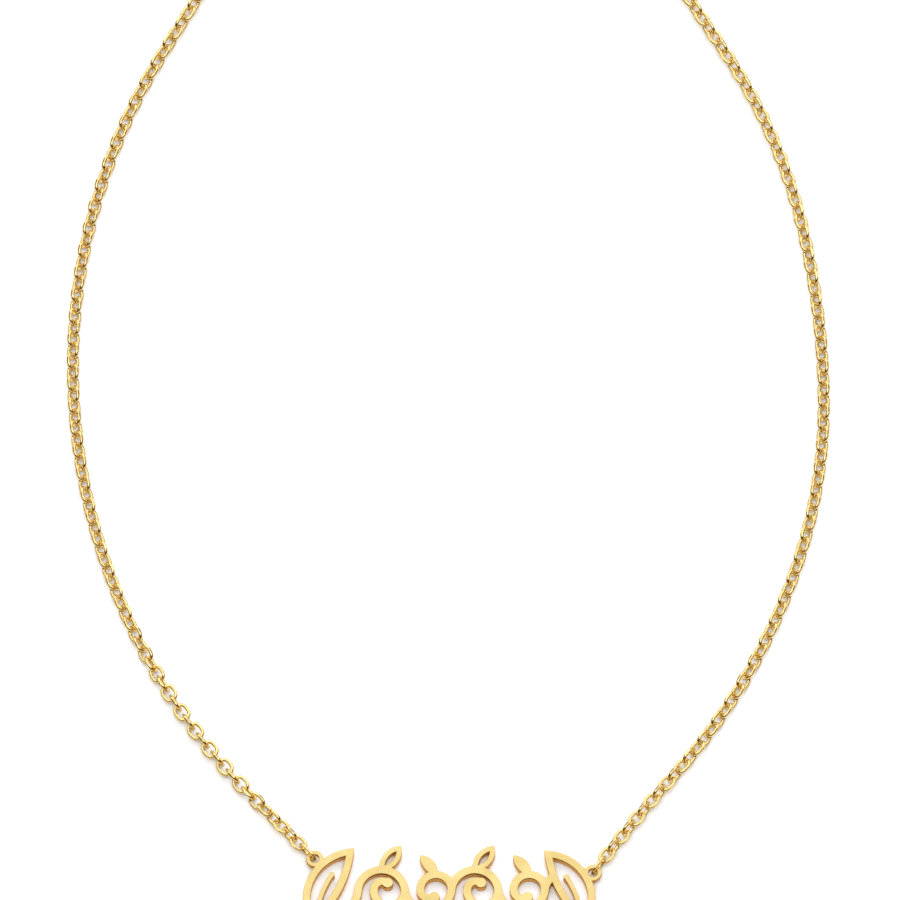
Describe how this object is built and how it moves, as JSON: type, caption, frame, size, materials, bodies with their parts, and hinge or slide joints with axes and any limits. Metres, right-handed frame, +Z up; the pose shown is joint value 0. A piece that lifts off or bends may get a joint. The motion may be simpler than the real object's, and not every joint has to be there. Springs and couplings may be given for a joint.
{
  "type": "necklace with an openwork scroll pendant",
  "caption": "Gold-coloured necklace lying closed: an openwork leaf scroll between the ends of a fine oval cable chain with a spring ring clasp.",
  "frame": {"origin": "on the back face of the scroll plate, midway along it, where its vine crosses its middle line", "axes": "+Z up from the surface that the necklace lies on, +Y from the scroll to the clasp, +X to the right seen from above"},
  "size_m": [0.1184, 0.1811, 0.0025],
  "materials": {
    "scroll": "satin, fine straight brushing, polished cut walls",
    "chain": "polished, small diamond-cut facets",
    "rings": "polished",
    "clasp": "polished"
  },
  "bodies": {
    "root": {"scroll_plate": "scroll", "plate_ring_left": "rings", "plate_ring_right": "rings", "chain_left": "chain", "chain_right": "chain", "clasp_ring_left": "rings", "clasp_ring_right": "rings", "clasp": "clasp"}
  },
  "joints": []
}
